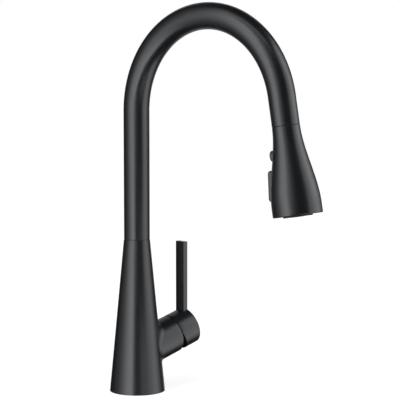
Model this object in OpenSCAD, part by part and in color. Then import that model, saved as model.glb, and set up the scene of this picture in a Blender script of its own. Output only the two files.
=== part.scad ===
// Pull-down kitchen faucet.
// A cone body carries a side valve with a lever, and an arched spout that swivels on the body's neck.
// A spray head on a hose docks in the spout's end. Lengths are in millimetres, angles in degrees.
// The origin is on the body's axis at the deck, +Z is up, +X points to the handle and -Y to the sink.

/* [Body] */
// Radius of the body's foot on the deck
foot_r = 28.95; // [28:0.01:32]
// Radius of the body right under the spout
neck_r = 13.65; // [13.6:0.01:15]
// Height of the body
body_h = 160; // [150:1:190]
// Wall of the cone
body_wall = 3.2; // [2.4:0.1:3.6]
// Length of the neck bore that guides the spout
neck_len = 43; // [38:1:50]

/* [Handle hub] */
// Height at which the hub's axis meets the body's axis
hub_z = 40.9; // [40:0.1:46]
// Tilt of the hub above the horizontal
hub_tilt = 17.8; // [14:0.1:20]
// Radius of the hub and of the handle cap
hub_r = 20.05; // [19:0.05:21]
// Length of the hub from the body's axis
hub_len = 47.6; // [47:0.1:52]
// Slope of the hub's end face below its middle
hub_relief = 3.5; // [1:0.1:4]
// Gap between the hub and the handle cap
cap_gap = 1.2; // [0.8:0.1:2]
// Length of the handle cap
cap_len = 22.4; // [21.5:0.1:26]
// Slope of the cap's lower skirt, which leaves room for the lever's swing
cap_cut = 15; // [12:0.1:17]
// Wall of the cap's skirt
cap_wall = 1.6; // [1.4:0.05:3]
// Rounding of the cap's outer edge
cap_edge = 1; // [0.6:0.1:2.4]
// Width of the lever bar
lever_w = 13.6; // [10:0.05:16]
// Thickness of the lever bar
lever_t = 5.4; // [4:0.05:7]
// Height of the lever's top above the deck
lever_top = 154; // [130:1:180]
// Length of the lever that is sunk into the cap
tenon_len = 9.6; // [6:0.1:11]

/* [Valve cartridge] */
// Radius of the cartridge
cartridge_r = 12.4; // [12.2:0.05:12.6]
// Depth of the cartridge pocket below the hub's end
pocket_depth = 30.4; // [30:0.1:31]
// Wall round the cartridge pocket
pocket_wall = 3.65; // [2.5:0.05:3.9]
// Thickness of the cartridge's base
cartridge_base_t = 3; // [2:0.1:3.5]
// Radius of the two ceramic discs' stack in its sleeve
disc_r = 10.6; // [10.5:0.05:10.8]
// Radius of the moving ceramic disc
moving_disc_r = 8.5; // [8:0.1:8.8]
// Thickness of each ceramic disc
disc_t = 2.5; // [2:0.1:3]
// Side of the square valve stem
stem_w = 7; // [6:0.1:7.4]
// Radius of the ball at the stem's foot
ball_r = 2; // [1.6:0.05:2.2]
// Radius of the cross pin that the stem tilts on
stem_pin_r = 1.4; // [1:0.05:1.6]
// Radius of each waterway
waterway_r = 1.9; // [1.5:0.05:2]

/* [Spout] */
// Radius of the spout tube
tube_r = 13.5; // [13:0.05:13.6]
// Wall of the spout tube
tube_wall = 1.15; // [0.9:0.05:1.2]
// Height of the arch's centre
arch_z = 294.7; // [270:0.1:360]
// Radius of the arch on the tube's axis
arch_r = 95.51; // [80:0.01:120]
// Angle that the arch turns through
arch_bend = 170; // [160:1:178]
// Swing of the spout towards the handle
spout_swing = 11.3; // [-60:0.1:60]
// Length of the straight end past the arch
spout_end_len = 28.7; // [27:0.1:34]
// Thickness of the swivel washer between the body and the spout
swivel_washer_t = 0.5; // [0.4:0.1:1]
// Radius of the spigot that turns in the neck
spigot_r = 9.6; // [9.2:0.05:9.8]
// Length of the spigot inside the tube
spigot_plug_len = 17.5; // [10:0.5:30]
// Wall of a guide bush outside the spigot
bush_t = 0.82; // [0.6:0.02:0.9]
// Length of each guide bush
bush_len = 8; // [5:0.5:12]

/* [Hose] */
// Radius of the pull-out hose
hose_r = 5; // [4.5:0.1:5.2]
// Radius of the hose's bore
hose_bore_r = 3; // [2.5:0.1:3.2]
// Wall of the crimped ferrules
ferrule_wall = 1.15; // [0.8:0.05:1.3]
// How far the hose's lower end lies under the deck
hose_drop = 66; // [62:1:90]
// Radius of the hose tail's collar
tail_collar_r = 6.4; // [6.1:0.05:6.5]

/* [Spray head] */
// Turn of the head about its own axis
head_turn = 12; // [-180:1:180]
// Gap at the seam between the spout and the head
seam_gap = 0.3; // [0.2:0.05:0.6]
// Radius of the head at the seam
head_top_r = 13.55; // [13.5:0.05:14]
// Radius of the head at its rim
head_rim_r = 24.2; // [23.8:0.05:26]
// Length from the seam to the rim
head_len = 86; // [80:0.5:92]
// Length of the straight part at the rim
rim_len = 9; // [6:0.1:10]
// Wall of the spray shell
shell_wall = 2; // [1.6:0.05:2.1]
// Radius of the core's barrel
barrel_r = 9.5; // [9:0.1:10]
// Length of the docking nut above the seam
dock_len = 16; // [15:0.1:16.2]
// Radius of the docking nut at its small end
dock_small_r = 8.8; // [8.7:0.05:9]
// Radius of the docking nut at the seam
dock_large_r = 10.5; // [10.2:0.05:10.6]

/* [Head controls] */
// Distance from the pause button's middle to the rocker's upper end
pause_gap = 13.35; // [12.6:0.05:15]
// Radius of the pause button
pause_r = 5.7; // [4.6:0.05:5.8]
// How far the pause button's crown stands out of the shell
pause_proud = 4; // [2.6:0.05:4.4]
// Travel of the pause button
pause_travel = 2; // [1:0.1:2.2]
// Distance from the rocker's lower end to the outlet chamber
rocker_gap = 1.1; // [0.8:0.1:3]
// Length of the rocker
rocker_len = 30.1; // [27:0.1:30.5]
// Half of the rocker's width
rocker_half_w = 6; // [5:0.1:6.4]
// How far the rocker's lower pad stands out of the shell
rocker_proud = 2.8; // [1:0.05:3.2]
// How much lower the rocker's upper pad lies
rocker_step = 2.5; // [0.4:0.1:3]
// Distance of the rocker's pin from the head's axis
rocker_pin_x = 16; // [15.6:0.1:16.1]
// Radius of the rocker's pin
rocker_pin_r = 1.2; // [0.8:0.05:1.3]
// Radius of the diverter spool
spool_r = 4; // [3.8:0.05:4.2]

/* [Spray face] */
// How far the face plate lies inside the rim
face_recess = 1.35; // [0.8:0.05:1.8]
// Depth of the outlet chamber
chamber_h = 7.2; // [6.5:0.1:8]
// Thickness of the nozzle mat
mat_t = 2.2; // [1.5:0.1:2.4]
// Thickness of the face plate
face_t = 4; // [2.5:0.1:4.5]
// Radius of each spray nozzle
nozzle_r = 1.1; // [0.8:0.05:1.3]
// How far the nozzles stand out of the rim
nozzle_proud = 1.8; // [0.8:0.1:3]
// Radius of the inner ring of nozzles
nozzle_ring_1 = 9.5; // [9.2:0.1:10]
// Radius of the outer ring of nozzles
nozzle_ring_2 = 13.3; // [12.9:0.1:14.5]
// Radius of the aerator
aerator_r = 6.5; // [6:0.05:6.7]

/* [Deck mounting] */
// Radius of the shank
shank_r = 17; // [16.8:0.05:17.3]
// Wall of the shank
shank_wall = 1.8; // [1.4:0.05:1.9]
// Length of the shank below the deck
shank_len = 60; // [56:1:80]
// Radius of the shank's flange
flange_r = 25.4; // [24.8:0.05:25.5]
// Thickness of the shank's flange
flange_t = 6; // [5:0.1:7]
// Thickness of the base gasket
gasket_t = 2; // [1:0.1:2.5]
// Thickness of the deck that is clamped
deck_t = 26; // [15:1:30]
// Radius of the washers under the deck
washer_r = 27; // [25.5:0.1:32]
// Thickness of the rubber washer
rubber_t = 3; // [2:0.1:4]
// Thickness of the metal washer
metal_t = 1.5; // [1:0.1:2]
// Height of the mounting nut
nut_h = 12; // [9:0.5:13]
// Radius of each supply port's threaded hole
port_r = 3.46; // [3.2:0.02:3.5]
// Depth of each supply port's thread
port_depth = 12; // [8:0.5:12]
// Radius of the circle that the ports lie on
port_ring_r = 10.9; // [10.8:0.05:11]
// Angle between one supply port and the next
port_step = 60; // [56:1:64]

/* [Fits] */
// Clearance between pieces that are fixed together
fit_gap = 0.05; // [0.03:0.01:0.08]
// Clearance between pieces that move past each other
run_gap = 0.3; // [0.25:0.01:0.35]
// Radial clearance of a guide bush or a pin that runs in its bore
bush_gap = 0.08; // [0.05:0.01:0.1]

/* [Hidden] */

$fn = 64;
cut = 1;                     // how far a cutting shape runs past what it cuts

black = "#1d1e21";
black_plastic = "#26272a";
brass = "#c9a24a";
steel = "#b9bcc0";
rubber = "#2b2b2b";
ceramic = "#e9e6dc";
grey_plastic = "#8a8d90";
white_plastic = "#e8e8e6";

// Deck mounting, from the deck down and up
flange_z = gasket_t;
ledge_z = flange_z + flange_t;
ledge_t = 6;
ledge_r = shank_r + 0.5;
shank_bore_r = shank_r - shank_wall;
base_screw_ring_r = (ledge_r + flange_r) / 2;
base_screw_r = 2;
base_head_r = 3.6;
base_head_h = 2.1;
base_screw_count = 3;
washer_bore_r = shank_r + run_gap;
rubber_z = -deck_t - rubber_t;
metal_z = rubber_z - metal_t;
nut_lift = 1.5;
nut_z = metal_z - nut_lift - nut_h;
nut_r = 26;
nut_notch_r = 3;
nut_notch_count = 6;
tight_ring_r = (shank_r + nut_r) / 2;
tight_screw_r = 2.5;
tight_screw_tail = 4;
tight_head_r = 3.2;
tight_head_h = 4;

// Supply ports in the body
port_z = ledge_z + 4;
column_r = port_r + 1.94;
way_wall = 2;
way_lead = 1;
column_top = hub_z + 9.3;
riser_r = waterway_r + 0.3;
port_angles = [-port_step, 0, port_step];

// Cartridge, as distances along the hub's axis from the body's axis
seat_d = hub_len - pocket_depth;
pocket_back_d = seat_d - 3.5;
cartridge_bore_r = cartridge_r + 3 * fit_gap;
pocket_wall_r = cartridge_bore_r + pocket_wall;
seal_stand = 0.5;
seal_t = 1.2;
seal_r = 3.4;
base_d = seat_d + seal_stand;
stack_d = base_d + cartridge_base_t;
moving_d = stack_d + disc_t + fit_gap;
carrier_d = moving_d + disc_t;
carrier_t = 4;
carrier_r = moving_disc_r - 0.2;
rotor_d = carrier_d + carrier_t + run_gap;
rotor_h = 6.7;
rotor_neck_r = 8.6;
rotor_neck_h = 4;
lip_d = rotor_d + rotor_h + run_gap;
lip_t = 2.5;
sleeve_end_d = lip_d + lip_t;
step_d = seat_d + 16;
sleeve_flange_r = cartridge_r + 2;
sleeve_flange_t = 3;
mouth_r = hub_r - 2.65;
bonnet_d = step_d + sleeve_flange_t;
bonnet_h = 10;
pivot_d = rotor_d + 3.5;
ball_d = carrier_d + ball_r + 0.2;
stem_neck_r = ball_r - 0.4;
stem_foot_d = rotor_d + 1;

// Waterway places on the valve's face: below the axis and to both sides of it
way_low_u = 6;
way_side_u = -3;
way_side_v = 7.5;
way_uv = [[way_side_u, -way_side_v], [way_low_u, 0], [way_side_u, way_side_v]];

// Handle
cap_d = hub_len + cap_gap;
cap_end_d = cap_d + cap_len;
cap_cavity_h = 8.4;
cap_cut_u = -2.7;
socket_r = 7.2;
socket_d = cap_d + 0.9;
stem_top_d = cap_end_d - 6.9;
set_screw_d = cap_d + cap_cavity_h + 3;
set_screw_r = 2;
set_screw_len = 5;
lever_x = cap_end_d * cos(hub_tilt) - hub_r * sin(hub_tilt);
cap_corner_z = hub_z + cap_end_d * sin(hub_tilt) + hub_r * cos(hub_tilt);

// Neck and spigot
shoulder_z = body_h - neck_len;
bush_r = spigot_r + bush_t;
neck_bore_r = bush_r + bush_gap;
bush_groove_r = spigot_r - 0.4;
bush_z = [shoulder_z + 7, body_h - 2 - bush_len];
clip_t = 1.5;
clip_z = shoulder_z - run_gap - clip_t;
clip_groove_r = spigot_r - 1;
clip_r = neck_bore_r + 1.3;
clip_gap_w = 9;
spigot_foot_z = shoulder_z - 7;
hose_way_r = hose_r + 0.8;
spigot_bore_r = hose_r + 1.6;
spout_z = body_h + swivel_washer_t;
tube_bore_r = tube_r - tube_wall;
tube_chamfer = 0.35;

// Docking end, as distances past the arch
ferrule_r = hose_r + fit_gap + ferrule_wall;
hose_end_l = 9;
ferrule_end_l = hose_end_l + 3;
sleeve_top_l = 6;
sleeve_step_l = spout_end_len - dock_len - 0.5;
sleeve_end_l = spout_end_len - 0.5;
dock_gap = run_gap + 0.1;
dock_slope = (dock_large_r - dock_small_r) / dock_len;
tail_r = 4.6;

// Head, as distances from the seam along its axis
head_z = seam_gap / 2;
flare_len = head_len - rim_len;
face_z = head_len - face_recess - face_t;
mat_z = face_z - fit_gap - mat_t;
chamber_z = mat_z - chamber_h;
rocker_z = chamber_z - rocker_gap - rocker_len;
pause_z = rocker_z - pause_gap;
core_spigot_r = 7.6;
core_spigot_top = -8.4;
nut_bore_r = tail_collar_r + 0.5;
nut_seat_z = -dock_len + 3;
collar_z = nut_seat_z + 0.2;
collar_t = 2;
cage_r = 5.1;
cage_top = core_spigot_top + 0.9;
cage_end = 9;
passage_r = 3.2;
poppet_r = 3.6;
poppet_stem_r = 1.3;
poppet_z = cage_top + 2.1;
poppet_t = 1.5;
poppet_end = cage_end - 0.3;
cage_floor_z = cage_end - 1.5;
shell_steps = 14;
rim_bevel = 0.6;
core_collar_r = head_top_r - shell_wall - fit_gap;
core_collar_h = 4;
pause_top = shell_r(pause_z) + pause_proud;
flange_high_x = shell_r(pause_z) - shell_wall - 2.3;
flange_low_x = flange_high_x - 1.4;
flange_gap = 0.4;
pause_flange_r = pause_r + 0.7;
pause_seat_x = flange_low_x - pause_travel - flange_gap;
pause_spring_x = 4.5;
pause_stem_r = 1.6;
pause_spring_r = pause_stem_r + 1.7;
pause_stem_end = -0.4;
pause_crown = 1.2;
pause_crown_r = (pow(pause_r, 2) + pow(pause_crown, 2)) / (2 * pause_crown);
rocker_mid_z = rocker_z + rocker_len / 2;
rocker_top = shell_r(rocker_z + rocker_len) + rocker_proud;
finger_x = 5.2;
finger_tip_r = 2;
finger_half_t = 1.4;
finger_half_w = 1.5;
ear_in = 4.3;
ear_root_x = 4;
ear_t = 2;
ear_r = 2.1;
groove_half_w = finger_tip_r + 0.1;
spool_z = rocker_mid_z - 10.4;
spool_end = rocker_mid_z + 11.6;
spool_groove_r = 2.9;
spool_bore_r = 1.9;
ring_t = 1.2;
ring_z = [spool_z + 3, spool_end - 3 - ring_t];
chamber_r = head_rim_r - shell_wall - 0.45;
chamber_wall = 2.2;
chamber_floor = 2;
face_seal_r = chamber_r - 0.55;
face_seal_w = 1.1;
face_seal_t = 0.9;
ring_end_z = head_len - run_gap;
nozzle_end = head_len + nozzle_proud;
nozzle_bore_r = 0.45;
nozzle_rings = [[nozzle_ring_1, 12], [nozzle_ring_2, 18]];
aerator_z = mat_z - 3.2;
aerator_end = nozzle_end - 0.3;

// Radius of the cone body at height z
function cone_r(z) = foot_r + (neck_r - foot_r) * z / body_h;

// A soft step from 0 to 1
function soft_step(t) = t <= 0 ? 0 : t >= 1 ? 1 : t * t * (3 - 2 * t);

// Outer radius of the spray shell at a distance z from the seam
function shell_r(z) = head_top_r + (head_rim_r - head_top_r) * soft_step(z / flare_len);

// Hub frame: z runs out along the hub, x points down, y stays
module in_hub() {
    translate([0, 0, hub_z]) rotate([0, 90 - hub_tilt, 0]) children();
}

// Spout frame: x points from the body to the head
module in_spout() {
    rotate([0, 0, spout_swing - 90]) children();
}

// Dock frame: z runs down out of the spout from the arch's end, x points back to the body
module in_dock() {
    in_spout()
        translate([arch_r * (1 + cos(180 - arch_bend)), 0, arch_z + arch_r * sin(180 - arch_bend)])
        rotate([0, arch_bend, 0]) children();
}

// Head frame: z runs from the seam to the rim, x points at the controls
module in_head() {
    in_dock() translate([0, 0, spout_end_len]) rotate([0, 0, -head_turn]) children();
}

// A tube standing on z
module ring(r_out, r_in, z, h) {
    translate([0, 0, z]) difference() {
        cylinder(r = r_out, h = h);
        translate([0, 0, -cut]) cylinder(r = r_in, h = h + 2 * cut);
    }
}

// A round bar along +x from x0 to x1
module bar_x(r, x0, x1) {
    translate([x0, 0, 0]) rotate([0, 90, 0]) cylinder(r = r, h = x1 - x0);
}

// A round rod on the spout's axis, from height z0 to a distance l1 past the arch. Its straight end is a hair
// thinner than the arch and starts inside it, so that the two are one piece.
module spout_rod(r, z0, l1) {
    overlap = 1;
    thinner = 0.02;
    in_spout() {
        translate([0, 0, z0]) cylinder(r = r, h = arch_z - z0);
        translate([arch_r, 0, arch_z]) rotate([90, 0, 0])
            rotate_extrude(angle = arch_bend, start = 180 - arch_bend) translate([arch_r, 0]) circle(r = r);
    }
    in_dock() translate([0, 0, -overlap]) cylinder(r = r - thinner, h = overlap + l1);
}

// ---- Body ----

module body_casting() {
    color(black) difference() {
        union() {
            difference() {
                union() {
                    cylinder(r1 = foot_r, r2 = neck_r, h = body_h);
                    in_hub() cylinder(r = hub_r, h = hub_len);
                }
                translate([0, 0, ledge_z + ledge_t])
                    cylinder(r1 = cone_r(ledge_z + ledge_t) - body_wall,
                             r2 = cone_r(shoulder_z) - body_wall,
                             h = shoulder_z - ledge_z - ledge_t);
                translate([0, 0, ledge_z - cut]) cylinder(r = ledge_r, h = ledge_t + 2 * cut);
            }
            in_hub() translate([0, 0, pocket_back_d])
                cylinder(r = pocket_wall_r, h = step_d - pocket_back_d);
            for (a = port_angles)
                rotate([0, 0, a]) translate([port_ring_r, 0, port_z])
                    cylinder(r = column_r, h = column_top - port_z);
            for (i = [0:2])
                in_hub() translate([way_uv[i][0], way_uv[i][1], way_start(i) - way_lead])
                    cylinder(r = waterway_r + way_wall, h = seat_d - way_start(i));
        }
        translate([0, 0, -cut]) cylinder(r = flange_r + 2 * fit_gap, h = ledge_z + cut);
        translate([0, 0, ledge_z]) cylinder(r = hose_way_r, h = shoulder_z - ledge_z + cut);
        translate([0, 0, shoulder_z - cut]) cylinder(r = neck_bore_r, h = neck_len + 2 * cut);
        in_hub() {
            translate([0, 0, seat_d]) cylinder(r = cartridge_bore_r, h = hub_len);
            translate([0, 0, step_d]) cylinder(r = mouth_r, h = hub_len);
            translate([0, 0, hub_len]) rotate([0, hub_relief, 0])
                translate([0, -2 * hub_r, 0]) cube([2 * hub_r, 4 * hub_r, hub_r]);
            for (i = [0:2])
                translate([way_uv[i][0], way_uv[i][1], way_start(i)])
                    cylinder(r = waterway_r, h = seat_d - way_start(i) + cut);
        }
        for (i = [0:2])
            rotate([0, 0, port_angles[i]]) translate([port_ring_r, 0, port_z]) {
                translate([0, 0, -cut]) cylinder(r = port_r, h = port_depth + cut);
                cylinder(r = riser_r, h = way_height(i) + riser_r - port_z);
            }
        base_screw_places() translate([0, 0, ledge_z - cut])
            cylinder(r = base_screw_r + fit_gap, h = ledge_t + 2 * cut);
    }
}

// Distance along the hub's axis at which waterway i starts, right above its port
function way_start(i) =
    (port_ring_r * cos(port_angles[i]) - way_uv[i][0] * sin(hub_tilt)) / cos(hub_tilt);

// Height of that start
function way_height(i) = hub_z + way_start(i) * sin(hub_tilt) - way_uv[i][0] * cos(hub_tilt);

module base_screw_places() {
    for (i = [0:base_screw_count - 1])
        rotate([0, 0, 90 + i * 360 / base_screw_count]) translate([base_screw_ring_r, 0, 0]) children();
}

module base_gasket() {
    color(rubber) ring(flange_r - 2 * fit_gap, shank_r + 1, 0, gasket_t);
}

module shank() {
    color(brass) difference() {
        union() {
            translate([0, 0, flange_z]) cylinder(r = flange_r, h = flange_t);
            translate([0, 0, -shank_len]) cylinder(r = shank_r, h = shank_len + flange_z + cut);
        }
        translate([0, 0, -shank_len - cut]) cylinder(r = shank_bore_r, h = shank_len + ledge_z + 2 * cut);
        base_screw_places() translate([0, 0, flange_z]) {
            translate([0, 0, -cut]) cylinder(r = base_screw_r + fit_gap, h = flange_t + 2 * cut);
            translate([0, 0, -cut]) cylinder(r = base_head_r + fit_gap, h = base_head_h + cut);
        }
    }
}

module base_screws() {
    socket_w = 1.4;
    socket_depth = 1.2;
    color(steel) base_screw_places() translate([0, 0, flange_z]) difference() {
        union() {
            cylinder(r = base_head_r, h = base_head_h);
            cylinder(r = base_screw_r, h = flange_t + ledge_t - 1);
        }
        translate([0, 0, -cut]) cylinder(r = socket_w, h = socket_depth + cut, $fn = 6);
    }
}

module rubber_washer() {
    color(rubber) ring(washer_r, washer_bore_r, rubber_z, rubber_t);
}

module metal_washer() {
    color(steel) ring(washer_r, washer_bore_r, metal_z, metal_t);
}

module tightening_places() {
    for (i = [0:2])
        rotate([0, 0, 30 + i * 120]) translate([tight_ring_r, 0, 0]) children();
}

module mounting_nut() {
    color(brass) difference() {
        ring(nut_r, shank_r + fit_gap, nut_z, nut_h);
        tightening_places() translate([0, 0, nut_z - cut])
            cylinder(r = tight_screw_r + fit_gap, h = nut_h + 2 * cut);
        for (i = [0:nut_notch_count - 1])
            rotate([0, 0, i * 360 / nut_notch_count]) translate([nut_r + 1, 0, nut_z - cut])
                cylinder(r = nut_notch_r, h = nut_h + 2 * cut);
    }
}

module tightening_screws() {
    screw_len = nut_h + nut_lift + tight_screw_tail;
    tight_socket = 2;
    color(steel) tightening_places() translate([0, 0, metal_z - screw_len]) {
        cylinder(r = tight_screw_r, h = screw_len);
        translate([0, 0, -tight_head_h]) difference() {
            cylinder(r = tight_head_r, h = tight_head_h);
            translate([0, 0, -cut]) cylinder(r = tight_socket, h = tight_socket + cut, $fn = 6);
        }
    }
}

// ---- Valve cartridge ----

module port_seals() {
    color(rubber) in_hub() for (p = way_uv)
        translate([p[0], p[1], 0]) ring(seal_r, waterway_r + 0.3, seat_d, seal_t);
}

module cartridge_base() {
    color(grey_plastic) in_hub() difference() {
        translate([0, 0, base_d]) cylinder(r = cartridge_r, h = cartridge_base_t);
        for (p = way_uv) translate([p[0], p[1], base_d - cut]) {
            cylinder(r = waterway_r, h = cartridge_base_t + 2 * cut);
            cylinder(r = seal_r + fit_gap, h = seal_t - seal_stand + cut);
        }
    }
}

module cartridge_sleeve() {
    color(grey_plastic) in_hub() difference() {
        union() {
            translate([0, 0, stack_d]) cylinder(r = cartridge_r, h = sleeve_end_d - stack_d);
            translate([0, 0, step_d]) cylinder(r = sleeve_flange_r, h = sleeve_flange_t);
        }
        translate([0, 0, stack_d - cut]) cylinder(r = disc_r + run_gap, h = lip_d - stack_d + cut);
        translate([0, 0, stack_d]) cylinder(r = rotor_neck_r + run_gap, h = sleeve_end_d);
    }
}

module fixed_disc() {
    color(ceramic) in_hub() difference() {
        translate([0, 0, stack_d]) cylinder(r = disc_r, h = disc_t);
        for (p = way_uv) translate([p[0], p[1], stack_d - cut])
            cylinder(r = waterway_r, h = disc_t + 2 * cut);
    }
}

module moving_disc() {
    hollow_r = moving_disc_r - 3.5;
    hollow_depth = 1.2;
    color(ceramic) in_hub() difference() {
        translate([0, 0, moving_d]) cylinder(r = moving_disc_r, h = disc_t - fit_gap);
        translate([way_side_u / 2, 0, moving_d - cut]) cylinder(r = hollow_r, h = hollow_depth + cut);
    }
}

module disc_carrier() {
    cup_r = ball_r + 2 * fit_gap;
    cup_floor = 0.1;
    cup_mouth_r = ball_r + 1.3;
    cup_mouth_t = 1.2;
    color(grey_plastic) in_hub() difference() {
        translate([0, 0, carrier_d]) cylinder(r = carrier_r, h = carrier_t);
        translate([0, 0, carrier_d + cup_floor]) cylinder(r = cup_r, h = carrier_t);
        translate([0, 0, carrier_d + carrier_t - cup_mouth_t])
            cylinder(r1 = cup_r, r2 = cup_mouth_r, h = cup_mouth_t + fit_gap);
    }
}

module cartridge_rotor() {
    slot_low = stem_w / 2 + 1.3;
    slot_high = stem_w / 2 + 2.5;
    slot_half_w = stem_w / 2 + 2 * fit_gap;
    color(white_plastic) in_hub() difference() {
        union() {
            translate([0, 0, rotor_d]) cylinder(r = disc_r, h = rotor_h);
            translate([0, 0, rotor_d]) cylinder(r = rotor_neck_r, h = rotor_h + rotor_neck_h);
        }
        translate([-slot_low, -slot_half_w, rotor_d - cut])
            cube([slot_low + slot_high, 2 * slot_half_w, rotor_h + rotor_neck_h + 2 * cut]);
        translate([0, 0, pivot_d]) rotate([90, 0, 0])
            cylinder(r = stem_pin_r + fit_gap, h = 2 * disc_r + 2 * cut, center = true);
    }
}

module stem_pin() {
    color(steel) in_hub() translate([0, 0, pivot_d]) rotate([90, 0, 0])
        cylinder(r = stem_pin_r, h = 2 * disc_r - 1, center = true);
}

module cartridge_stem() {
    color(brass) in_hub() difference() {
        union() {
            translate([0, 0, ball_d]) sphere(r = ball_r);
            translate([0, 0, ball_d]) cylinder(r = stem_neck_r, h = stem_foot_d - ball_d + cut);
            translate([-stem_w / 2, -stem_w / 2, stem_foot_d])
                cube([stem_w, stem_w, stem_top_d - stem_foot_d]);
        }
        translate([0, 0, pivot_d]) rotate([90, 0, 0])
            cylinder(r = stem_pin_r + fit_gap, h = stem_w + 2 * cut, center = true);
    }
}

module bonnet_nut() {
    color(brass) in_hub() ring(mouth_r - 2 * fit_gap, cartridge_r + 0.4, bonnet_d, bonnet_h);
}

// ---- Handle ----

module cap_solid() {
    edge_steps = 5;
    rotate_extrude() polygon(concat(
        [[0, cap_d], [hub_r, cap_d]],
        [for (i = [0:edge_steps])
            [hub_r - cap_edge * (1 - cos(90 * i / edge_steps)),
             cap_end_d - cap_edge * (1 - sin(90 * i / edge_steps))]],
        [[0, cap_end_d]]));
}

module handle_cap() {
    socket_w = stem_w + 2 * fit_gap;
    color(black) difference() {
        in_hub() difference() {
            union() {
                difference() {
                    cap_solid();
                    translate([0, 0, cap_d - cut]) cylinder(r = hub_r - cap_wall, h = cap_cavity_h + cut);
                }
                translate([0, 0, socket_d]) cylinder(r = socket_r, h = cap_cavity_h);
            }
            translate([cap_cut_u, 0, cap_d]) rotate([0, -cap_cut, 0])
                translate([0, -2 * hub_r, -hub_r]) cube([4 * hub_r, 4 * hub_r, hub_r]);
            translate([-socket_w / 2, -socket_w / 2, cap_d - cut])
                cube([socket_w, socket_w, stem_top_d - cap_d + cut + 2 * fit_gap]);
            translate([0, 0, set_screw_d]) bar_x(set_screw_r + fit_gap, 0, 2 * hub_r);
        }
        lever_bar(fit_gap);
    }
}

// The lever bar, grown by a clearance on each side where it cuts its slot
module lever_bar(gap) {
    translate([lever_x - lever_t - gap, -lever_w / 2 - gap, cap_corner_z - tenon_len - gap])
        cube([lever_t + 2 * gap, lever_w + 2 * gap, lever_top - cap_corner_z + tenon_len + gap]);
}

module lever() {
    color(black) lever_bar(0);
}

module set_screw() {
    start = stem_w / 2 + fit_gap;
    socket_w = 1.15;
    socket_depth = 2.5;
    color(steel) in_hub() translate([0, 0, set_screw_d]) difference() {
        bar_x(set_screw_r, start, start + set_screw_len);
        translate([start + set_screw_len - socket_depth, 0, 0]) rotate([0, 90, 0])
            cylinder(r = socket_w, h = socket_depth + cut, $fn = 6);
    }
}

// ---- Spout ----

module swivel_washer() {
    color(black_plastic) ring(neck_r - 0.5, spigot_r + run_gap, body_h, swivel_washer_t);
}

module spout_tube() {
    color(black) difference() {
        spout_rod(tube_r, spout_z, spout_end_len - seam_gap / 2);
        spout_rod(tube_bore_r, spout_z - cut, spout_end_len + cut);
        in_spout() translate([0, 0, spout_z - cut]) difference() {
            cylinder(r = tube_r + cut, h = tube_chamfer + cut);
            cylinder(r1 = tube_r - tube_chamfer - cut, r2 = tube_r, h = tube_chamfer + cut);
        }
    }
}

module spout_spigot() {
    funnel_h = 3;
    color(brass) in_spout() difference() {
        union() {
            translate([0, 0, spout_z]) cylinder(r = tube_bore_r - fit_gap, h = spigot_plug_len);
            translate([0, 0, spigot_foot_z]) cylinder(r = spigot_r, h = spout_z - spigot_foot_z + cut);
        }
        for (z = bush_z) ring(spigot_r + cut, bush_groove_r, z - fit_gap, bush_len + 2 * fit_gap);
        ring(spigot_r + cut, clip_groove_r, clip_z - fit_gap, clip_t + 2 * fit_gap);
        translate([0, 0, spigot_foot_z - cut])
            cylinder(r = spigot_bore_r, h = spout_z + spigot_plug_len - spigot_foot_z + 2 * cut);
        translate([0, 0, spout_z + spigot_plug_len - funnel_h])
            cylinder(r1 = spigot_bore_r, r2 = tube_bore_r - 2, h = funnel_h + fit_gap);
    }
}

module guide_bushes() {
    color(white_plastic) in_spout() for (z = bush_z) ring(bush_r, bush_groove_r + fit_gap, z, bush_len);
}

module retaining_clip() {
    color(steel) in_spout() difference() {
        ring(clip_r, clip_groove_r + fit_gap, clip_z, clip_t);
        translate([0, -clip_gap_w / 2, clip_z - cut]) cube([clip_r + cut, clip_gap_w, clip_t + 2 * cut]);
    }
}

module dock_sleeve() {
    color(black_plastic) in_dock() difference() {
        translate([0, 0, sleeve_top_l]) cylinder(r = tube_bore_r - fit_gap, h = sleeve_end_l - sleeve_top_l);
        translate([0, 0, sleeve_top_l - cut]) cylinder(r = ferrule_r + 0.6, h = spout_end_len);
        translate([0, 0, sleeve_step_l])
            cylinder(r1 = dock_small_r + dock_gap - 0.5 * dock_slope,
                     r2 = dock_large_r + dock_gap,
                     h = spout_end_len - sleeve_step_l);
    }
}

// ---- Hose ----

module pull_out_hose() {
    color(rubber) difference() {
        spout_rod(hose_r, -hose_drop, hose_end_l);
        spout_rod(hose_bore_r, -hose_drop - cut, hose_end_l + cut);
    }
}

module hose_connector() {
    ferrule_h = 12;
    foot_t = 3;
    nipple_r = 3.8;
    nipple_len = 15;
    nipple_bore_r = hose_bore_r - 0.8;
    groove_w = 1.6;
    groove_depth = 0.7;
    end_z = -hose_drop - foot_t - nipple_len;
    color(brass) in_spout() difference() {
        union() {
            translate([0, 0, -hose_drop - foot_t]) cylinder(r = ferrule_r, h = ferrule_h + foot_t);
            translate([0, 0, end_z]) cylinder(r = nipple_r, h = nipple_len + cut);
        }
        translate([0, 0, -hose_drop]) cylinder(r = hose_r + fit_gap, h = ferrule_h + cut);
        for (i = [1, 2]) ring(nipple_r + cut, nipple_r - groove_depth, end_z + 3 * i * groove_w, groove_w);
        translate([0, 0, end_z - cut]) cylinder(r = nipple_bore_r, h = foot_t + nipple_len + 2 * cut);
    }
}

module hose_ferrule() {
    color(steel) in_dock() difference() {
        cylinder(r = ferrule_r, h = ferrule_end_l);
        translate([0, 0, -cut]) cylinder(r = hose_r + fit_gap, h = hose_end_l + cut);
        cylinder(r = hose_bore_r, h = ferrule_end_l + cut);
    }
}

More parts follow.
